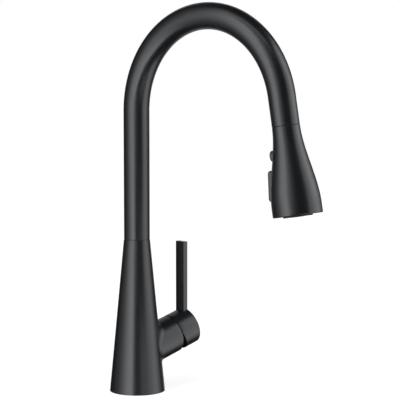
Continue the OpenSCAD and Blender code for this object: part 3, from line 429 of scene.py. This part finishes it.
rubber, shader, place = finish("seal_rubber", {"Specular IOR Level": 0.35})
bloom = place.noise(260.0, 4.0)
cover(shader, bloom.between((0.018, 0.018, 0.018), (0.040, 0.040, 0.041)), 0.62 + 0.25 * bloom,
      bloom, 0.4, 0.00005)
dress(["base_gasket", "rubber_washer", "port_seals", "inlet_washer", "chamber_seal", "spool_rings"], rubber)

# ---- Valve cartridge ----
# A sleeve and base of grey engineering plastic hold two lapped ceramic discs; the rotor and carrier that
# the stem moves are white and grey plastic.

grey_plastic, shader, place = finish("grey_plastic", {})
flow = place.noise(140.0, 3.0)
cover(shader, flow.between((0.26, 0.27, 0.28), (0.34, 0.35, 0.36)), 0.42 + 0.16 * flow, flow, 0.2, 0.00003)
dress(["cartridge_base", "cartridge_sleeve", "disc_carrier", "check_cage", "spray_core", "outlet_chamber"],
      grey_plastic)

white_plastic, shader, place = finish("white_plastic", {})
waxy = place.noise(180.0, 3.0)
cover(shader, waxy.between((0.76, 0.76, 0.73), (0.84, 0.84, 0.82)), 0.34 + 0.14 * waxy, waxy, 0.15, 0.00003)
dress(["cartridge_rotor", "guide_bushes", "check_poppet", "diverter_spool"], white_plastic)

ceramic, shader, place = finish("lapped_ceramic", {"Specular IOR Level": 0.6})
speck = place.noise(900.0, 2.0)
cover(shader, speck.between((0.82, 0.79, 0.72), (0.88, 0.86, 0.80)), 0.10 + 0.08 * speck)
dress(["fixed_disc", "moving_disc"], ceramic)

# ---- Handle cap ----
# A powder-coated brass cap over the valve. Its skirt is cut back at an angle below, which leaves the dark
# wedge that the lever's swing needs, and a set screw in its underside clamps it to the stem.

cap_d, cap_end_d = 48.8, 71.2
cap_wall, cap_edge, cap_cavity = 1.6, 0.6, 8.4
skirt_u, skirt_slope = -2.7, math.tan(math.radians(15))
rim_round, rim_t, rim_taper = 0.25, 0.35, 1.8
screw_d, screw_r, screw_from, screw_to = cap_d + cap_cavity + 3, 2.05, 4.0, 26.0


def pierce(piece, cutter):
    """Takes the cutter out of the piece's mesh, and then removes the cutter."""
    hole = piece.modifiers.new("hole", "BOOLEAN")
    hole.operation, hole.solver, hole.object = "DIFFERENCE", "EXACT", cutter
    mesh = bpy.data.meshes.new_from_object(piece.evaluated_get(bpy.context.evaluated_depsgraph_get()))
    piece.modifiers.clear()
    piece.data = mesh
    mesh.set_sharp_from_angle(angle=sharp_angle)
    bpy.data.objects.remove(cutter)


def cap_rows(r, d, cut):
    """One row of the cap, at radius r and distance d. A row at the skirt's edge follows its cut."""
    cut_back = np.maximum(0, r * cosines - skirt_u) * skirt_slope if cut else 0 * cosines
    return hub_row(r, d + cut_back)


turn = np.linspace(0, math.pi / 2, 9)
inner = hub_r - cap_wall
cap_grid = [cap_rows(0, cap_d + cap_cavity, False), cap_rows(inner - 0.5, cap_d + cap_cavity, False),
            cap_rows(inner, cap_d + cap_cavity - 0.5, False), cap_rows(inner, cap_d + rim_taper, True),
            cap_rows(hub_r - rim_t, cap_d, True)]
cap_grid += [cap_rows(hub_r - rim_round * (1 - math.sin(q)), cap_d + rim_round * (1 - math.cos(q)), True)
             for q in turn[::2]]
cap_grid += [cap_rows(hub_r, d, False) for d in np.linspace(cap_d + 6, cap_end_d - cap_edge - 0.1, 8)]
cap_grid += [cap_rows(hub_r - cap_edge * (1 - math.cos(q)), cap_end_d - cap_edge * (1 - math.sin(q)), False)
             for q in turn]
cap_grid += [cap_rows(r, cap_end_d, False) for r in (17.0, 9.0, 0.0)]
handle_cap = skin("handle_cap_shell", np.array(cap_grid))
pierce(handle_cap, lathe("screw_hole", hub_z * up + hub_axis * screw_d, hub_down, hub_side, [
    (0, screw_from), (screw_r, screw_from), (screw_r, screw_to), (0, screw_to)], 32))
finished(handle_cap, "handle", black_coat, "black_coat", "handle_cap")

# ---- Lever ----
# A flat bar of coated brass that stands upright in the cap's corner, with lightly broken edges.

lever_w, lever_t, lever_top, lever_edge, lever_sink = 13.6, 5.4, 154.0, 0.25, 9.6
lever_x = cap_end_d * math.cos(hub_tilt) - hub_r * math.sin(hub_tilt)
lever_foot = hub_z + cap_end_d * math.sin(hub_tilt) + hub_r * math.cos(hub_tilt) - lever_sink


def bar_section(half_x, half_y, radius, steps=5):
    """Points round a rectangle with rounded corners: each corner's centre plus a quarter circle."""
    angle = (np.arange(4)[:, None] * math.pi / 2 + np.linspace(0, math.pi / 2, steps + 1)).ravel()
    sign_x = np.repeat([1, -1, -1, 1], steps + 1)
    sign_y = np.repeat([1, 1, -1, -1], steps + 1)
    return np.stack([sign_x * (half_x - radius) + radius * np.cos(angle),
                     sign_y * (half_y - radius) + radius * np.sin(angle)], axis=-1)


def upright_bar(name, x, y, z0, z1, half_x, half_y, edge):
    """A bar along z whose section is a rounded rectangle, drawn in by a quarter circle at its top."""
    rows = [(z0, half_x), (z0, 0.0), (z1 - edge - 2, 0.0)]
    rows += [(z1 - edge * (1 - math.sin(q)), edge * (1 - math.cos(q)))
             for q in np.linspace(0, math.pi / 2, 6)]
    grid = []
    for z, inset in rows:
        section = bar_section(half_x - min(inset, edge), half_y - min(inset, edge), max(edge - inset, 0.02))
        if inset > edge:
            section = section * 0
        grid.append(np.column_stack([section + [x, y], np.full(len(section), z)]))
    grid.append(np.tile([x, y, z1], (len(section), 1)))
    return skin(name, np.array(grid))


lever = upright_bar("lever_bar", lever_x - lever_t / 2, 0, lever_foot, lever_top, lever_t / 2, lever_w / 2,
                    lever_edge)
finished(lever, "handle", black_coat, "black_coat", "lever")

# ---- Spout ----
# One length of drawn brass tube, bent to the arch and powder coated, with its cut ends lightly broken. It
# turns on a slippery washer, which shows as the dark line at the body's neck.

tube_r, tube_bore_r = 13.5, 12.35
arch_r, arch_z, arch_bend = 95.51, 294.7, math.radians(170)
tube_foot_z, tube_end_l = 160.5, 28.55
swing = math.radians(11.3 - 90)
out_dir = np.array([math.cos(swing), math.sin(swing), 0])
across = np.cross(up, out_dir)


def spout_path(t):
    """Centre, outward normal and tangent of the spout's line at t, which is the height up to the arch and
    goes on from there as the length round the arch and straight on past its end."""
    t = np.asarray(t, float)
    angle = np.clip((t - arch_z) / arch_r, 0, arch_bend)[:, None]
    normal = -out_dir * np.cos(angle) + up * np.sin(angle)
    tangent = out_dir * np.sin(angle) + up * np.cos(angle)
    rest = np.minimum(t - arch_z, 0) + np.maximum(t - arch_z - arch_r * arch_bend, 0)
    return out_dir * arch_r + up * arch_z + normal * arch_r + tangent * rest[:, None], normal, tangent


def along_spout(name, t, radius, count=96):
    """Circles of given radii carried along the spout's line, each at right angles to it."""
    centre, normal, _ = spout_path(t)
    cosines, sines = circle(count)
    ring = cosines[:, None] * normal[:, None] + sines[:, None] * across
    return skin(name, centre[:, None] + np.asarray(radius)[:, None, None] * ring, along=True)


tube_end_t = arch_z + arch_r * arch_bend + tube_end_l
tube_line = np.concatenate([
    np.linspace(tube_foot_z + 1, arch_z, 16), np.linspace(arch_z, tube_end_t - tube_end_l, 130)[1:],
    np.linspace(tube_end_t - tube_end_l, tube_end_t - 1, 6)[1:]])
tube_ends = rounded([(tube_end_t, tube_r, 0.35), (tube_end_t, tube_bore_r, 0.2),
                     (tube_foot_z, tube_bore_r, 0.2), (tube_foot_z, tube_r, 0.35)])
half_ends = len(tube_ends) // 2
spout_tube = along_spout(
    "spout_tube_coat",
    np.concatenate([tube_line, tube_ends[:half_ends, 0], tube_line[::-1], tube_ends[half_ends:, 0]]),
    np.concatenate([np.full(len(tube_line), tube_r), tube_ends[:half_ends, 1],
                    np.full(len(tube_line), tube_bore_r), tube_ends[half_ends:, 1]]))
finished(spout_tube, "spout", black_coat, "black_coat", "spout_tube")

# ---- Black mouldings ----
# Fine-grained black plastic: the swivel washer, the sleeve that the head docks in, the nut on the head's
# neck and the aerator.

black_plastic, shader, place = finish("black_plastic", {"Specular Tint": (0.94, 0.96, 1.0, 1)})
spark = place.noise(2600.0, 2.0)
drift = place.noise(120.0, 3.0)
cover(shader, drift.between((0.0095, 0.0097, 0.0103), (0.0140, 0.0142, 0.0148)), 0.44 + 0.08 * drift,
      spark, 0.25, 0.00002)
dress(["swivel_washer", "dock_sleeve", "docking_nut", "aerator"], black_plastic)

# ---- Hose ----
# A rubber tube in a woven nylon sleeve. One part stays in the spout; the other runs on to the ferrule,
# and its weave is spaced for the length that it has when drawn out with the head.

hose_r, hose_bore_r, hose_foot_z, hose_end_l, pull = 4.95, 3.0, -66.0, 9.0, 180.0
threads_round, threads_per_m = 12, 260
split_t = arch_z + arch_r * math.radians(161)
hose_end_t = arch_z + arch_r * arch_bend + hose_end_l

braid, shader, place = finish("woven_nylon", {"Specular IOR Level": 0.4})
weave_uv = place.node("ShaderNodeUVMap", {"uv_map": "weave"})
round_share, metres = (place.node("ShaderNodeSeparateXYZ", {}, {0: weave_uv}, out=i) for i in (0, 1))
left_hand = place.maths("SINE", (round_share * threads_round + metres * threads_per_m) * (2 * math.pi))
right_hand = place.maths("SINE", (round_share * threads_round - metres * threads_per_m) * (2 * math.pi))
threads = 0.5 + 0.5 * left_hand * right_hand
cover(shader, threads.between((0.025, 0.025, 0.027), (0.105, 0.105, 0.110)), 0.62 + 0.2 * threads,
      threads, 0.8, 0.0003)


def hose_part(name, t, drawn):
    """A length of hose with its wall, and a weave map: u once round, v the length in metres, drawn out by
    the amounts given."""
    t_loop = np.concatenate([t, t[::-1]])
    radius = np.concatenate([np.full(len(t), hose_r), np.full(len(t), hose_bore_r)])
    part = along_spout(name, t_loop, radius, 32)
    centre, normal, _ = spout_path(t)
    points = np.empty(len(part.data.vertices) * 3)
    part.data.vertices.foreach_get("co", points)
    points = points.reshape(-1, 3) * 1000
    near = np.argmin(np.linalg.norm(points[:, None] - centre, axis=2), axis=1)
    arm = points - centre[near]
    turned = np.arctan2(arm @ across, np.sum(arm * normal[near], axis=1)) / (2 * math.pi)
    corner = np.empty(len(part.data.loops), int)
    part.data.loops.foreach_get("vertex_index", corner)
    u = turned[corner]
    face = np.repeat(np.arange(len(part.data.polygons)), [p.loop_total for p in part.data.polygons])
    lowest = np.full(len(part.data.polygons), 9.0)
    highest = np.full(len(part.data.polygons), -9.0)
    np.minimum.at(lowest, face, u)
    np.maximum.at(highest, face, u)
    u = np.where((highest - lowest)[face] > 0.5, np.where(u < 0, u + 1, u), u)
    v = (t + drawn)[near][corner] * 0.001
    layer = part.data.uv_layers.new(name="weave")
    layer.data.foreach_set("uv", np.stack([u, v], axis=-1).ravel().astype(np.float32))
    return part


still_t = np.concatenate([np.linspace(hose_foot_z, arch_z, 40), np.linspace(arch_z, split_t, 90)[1:]])
hose_still = hose_part("hose_in_spout", still_t, 0 * still_t)
finished(hose_still, "spout", braid, "hose_braid", "pull_out_hose")
run_t = np.linspace(split_t, hose_end_t, 40)
run_share = np.clip((run_t - split_t) / (hose_end_t - split_t), 0, 1)
hose_run = hose_part("hose_run", run_t, pull * run_share ** 2 * (3 - 2 * run_share))
hose_run.data.materials.append(braid)
run_centre = spout_path([split_t, hose_end_t])[0] * 0.001
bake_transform(hose_run)

# ---- Spray shell ----
# The flared casing of the head, moulded and painted to match the coat, with holes for its two controls.

head_top_r, head_rim_r, flare_len, head_len = 13.55, 24.2, 77.0, 86.0
seam_half, shell_wall = 0.15, 2.0
head_turn = math.radians(12)
seam, seam_out, head_axis = (v[0] for v in spout_path([tube_end_t + seam_half]))
controls = -math.cos(head_turn) * seam_out - math.sin(head_turn) * across
head_across = np.cross(head_axis, controls)

black_shell, shader, place = finish("black_shell", {"Specular Tint": coat_tint})
mist = place.noise(45.0, 3.0)
fine = place.noise(1900.0, 2.0)
cover(shader, mist.between(coat_dark, coat_light), 0.28 + 0.04 * mist + 0.02 * fine,
      fine, 0.1, 0.00002)


def flare_r(z):
    """The head's radius at a distance from the seam: a soft step from neck to rim, t * t * (3 - 2 * t)."""
    t = np.clip(np.asarray(z, float) / flare_len, 0, 1)
    return head_top_r + (head_rim_r - head_top_r) * t * t * (3 - 2 * t)


flare_z = np.linspace(1.2, head_len - 3, 90)
rim = rounded([(head_rim_r, head_len - 2, 0), (head_rim_r, head_len, 0.9),
               (head_rim_r - shell_wall, head_len, 0.5), (head_rim_r - shell_wall, head_len - 2, 0)])
neck = rounded([(head_top_r - shell_wall, seam_half + 0.8, 0), (head_top_r - shell_wall, seam_half, 0.3),
                (head_top_r, seam_half, 0.35), (head_top_r, seam_half + 0.8, 0)])
shell_profile = np.concatenate([
    np.stack([flare_r(flare_z), flare_z], axis=-1), rim,
    np.stack([flare_r(flare_z) - shell_wall, flare_z], axis=-1)[::-1], neck])
spray_shell = lathe("spray_shell_coat", seam, head_axis, controls, shell_profile, 160)

pause_z, pause_r, pause_hole_low = 26.65, 5.7, 8.0
rocker_z, rocker_half_len, rocker_half_w, corner_r, rocker_hole_low = 55.05, 15.05, 6.0, 2.6, 12.5
run_gap, hole_high = 0.3, 40.0
pause_corner = pause_r - 0.01  # all but a full circle


def control_block(name, z, half_len, half_w, corner, low, high):
    """A prism out along the controls' direction, whose section is a rounded rectangle."""
    section = bar_section(half_len, half_w, corner, 6)
    ring = section[:, :1] * head_axis + section[:, 1:] * head_across
    here = seam + head_axis * z
    rows = [here + controls * low + 0 * ring, here + controls * low + ring,
            here + controls * high + ring, here + controls * high + 0 * ring]
    return skin(name, np.array(rows))


pierce(spray_shell, control_block("pause_hole", pause_z, pause_r + run_gap, pause_r + run_gap,
                                  pause_corner + run_gap, pause_hole_low, hole_high))
pierce(spray_shell, control_block("rocker_hole", rocker_z - run_gap, rocker_half_len + 2 * run_gap,
                                  rocker_half_w + run_gap, corner_r, rocker_hole_low, hole_high))
finished(spray_shell, "spray_head", black_shell, "black_shell", "spray_shell")
dress(["face_plate", "face_ring"], black_shell)

# ---- Head controls ----
# Two buttons of fine-grained black plastic: a round, slightly domed one that pauses the spray, and a long
# rocker that changes it, with a pad for the thumb at each end and a dip between them.

pause_top, pause_foot, pause_edge, pause_dome = 19.85, 12.2, 1.2, 0.9
rocker_foot, rocker_edge, rocker_arch = 17.2, 1.8, 0.5


def button(name, z, half_len, half_w, corner, depth, edge, height):
    """A button whose top is a height over a rounded rectangle: rings from its middle out to the outline,
    dropped by a quarter circle at the edge, then straight down its side and closed below."""
    turn = np.linspace(0, math.pi / 2, 8)[1:]
    share = np.concatenate([np.linspace(0, 1 - edge / half_w, 14), 1 - edge / half_w * (1 - np.sin(turn))])
    drop = np.concatenate([np.zeros(14), edge * (1 - np.cos(turn))])
    section = bar_section(half_len, half_w, corner, 8)
    core = section - np.sign(section) * np.minimum(half_w, np.abs(section))
    place = core + (section - core) * share[:, None, None]
    top = height(place[..., 0], place[..., 1]) - drop[:, None]
    low = np.full((2, len(section)), depth)
    place = np.concatenate([place, place[-1:], place[-1:] * 0])
    lift = np.concatenate([top, low])
    here = seam + head_axis * z
    flat = place[..., :1] * head_axis + place[..., 1:] * head_across
    return skin(name, here + flat + lift[..., None] * controls)


def rocker_height(a, b):
    """Height of the rocker's top, a along it and b across: two pads, the one near the rim higher, and a
    dip between them, all arched across by a parabola."""
    along = np.interp(a, [-rocker_half_len, -14, -12, -10, -7.9, -5.8, -2.5, 0.5, 4.7, 8.9, 11.5, 13.5,
                          rocker_half_len],
                      [22.9, 23.7, 24.05, 24.05, 23.85, 23.4, 23.35, 23.75, 24.85, 26.0, 26.5, 26.4, 25.9])
    return along - rocker_arch * (b / rocker_half_w) ** 2


def pause_height(a, b):
    """Height of the pause button's top: a shallow dome, by a parabola."""
    return pause_top - pause_dome * (a * a + b * b) / pause_r ** 2


pause_button = button("pause_button_cap", pause_z, pause_r, pause_r, pause_corner, pause_foot, pause_edge,
                      pause_height)
finished(pause_button, "pause_control", black_plastic, "black_plastic", "pause_button")
rocker = button("rocker_cap", rocker_z, rocker_half_len, rocker_half_w, corner_r, rocker_foot, rocker_edge,
                rocker_height)
finished(rocker, "mode_rocker", black_plastic, "black_plastic", "rocker")

# ---- Springs ----
# Coils of round stainless wire inside the head: one shuts the check valve in its neck, and one lifts the
# pause button.


def coil(name, foot, axis, side, length, radius, wire_r, turns, steps=28, sides=10):
    """Wire wound on a cylinder and cut off square. Its middle runs along foot + t * length * axis + radius
    * (cos * side + sin * third), where third is axis x side and the angle is t * turns whole rounds."""
    t = np.linspace(0, 1, steps * turns + 1)[:, None]
    angle, third = 2 * math.pi * turns * t, np.cross(axis, side)
    arm = np.cos(angle) * side + np.sin(angle) * third
    run = 2 * math.pi * turns * radius * (np.cos(angle) * third - np.sin(angle) * side) + length * axis
    lift = np.cross(run / np.linalg.norm(run, axis=1)[:, None], arm)
    line = foot + t * length * axis + radius * arm
    cosines, sines = circle(sides)
    rings = line[:, None] + wire_r * (cosines[:, None] * arm[:, None] + sines[:, None] * lift[:, None])
    first, last = (np.tile(line[i], (1, sides, 1)) for i in (0, -1))
    return skin(name, np.concatenate([first, rings, last]))


def spring(name, node, foot, axis, side, length, radius, wire_r, turns):
    """A steel coil from its foot in the head to its other end, in place of the CAD node that it stands for.
    """
    made = coil(name, foot + axis * wire_r, axis, side, length - 2 * wire_r, radius, wire_r, turns)
    made.data.materials.append(steel)
    start, end = foot * 0.001, (foot + axis * length) * 0.001
    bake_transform(made)
    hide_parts(node)


check_fixed_z, check_length, check_r, check_wire_r, check_turns = 7.5, 11.4, 2.5, 0.38, 6
pause_fixed_x, pause_length, pause_coil_r, pause_wire_r, pause_turns = 4.5, 6.25, 2.75, 0.48, 3
spring("check_valve_coil", "check_spring", seam + head_axis * check_fixed_z,
       -head_axis, controls, check_length, check_r, check_wire_r, check_turns)
spring("pause_coil", "pause_spring", seam + head_axis * pause_z + controls * pause_fixed_x,
       controls, head_across, pause_length, pause_coil_r, pause_wire_r, pause_turns)

# ---- Spray face ----
# A mat of soft black silicone whose nozzles stand through the face plate, each a short cone with a
# rounded tip and a fine bore, so that lime can be rubbed off.

silicone, shader, place = finish("nozzle_silicone", {"Specular IOR Level": 0.35})
skin_noise = place.noise(700.0, 3.0)
cover(shader, skin_noise.between((0.014, 0.014, 0.015), (0.026, 0.026, 0.028)), 0.55 + 0.2 * skin_noise,
      skin_noise, 0.3, 0.00003)

mat_z, mat_t, mat_r, mat_hole_r = 78.4, 2.2, 21.75, 6.6
mat = lathe("mat", seam, head_axis, controls, [
    (mat_hole_r, mat_z), (mat_r, mat_z), (mat_r, mat_z + mat_t), (mat_hole_r, mat_z + mat_t)], 96)
nozzle_rows = [(0.4, 85.4), (0.45, 87.1), (0.62, 87.35), (0.85, 87.25), (1.0, 86.95), (1.08, 86.4),
               (1.1, 84.0), (1.1, mat_z + 1), (0.4, mat_z + 1)]
nozzle_rings = [(9.5, 12), (13.3, 18)]
nozzles = []
for ring_r, count in nozzle_rings:
    for angle in (np.arange(count) + 0.5) * 2 * math.pi / count:
        foot = seam + ring_r * (math.cos(angle) * controls + math.sin(angle) * head_across)
        nozzles.append(lathe("nozzle", foot, head_axis, controls, nozzle_rows, 16))
nozzle_mat = joined("nozzles", [mat, *nozzles])
finished(nozzle_mat, "spray_head", silicone, "nozzle_silicone", "nozzle_mat")
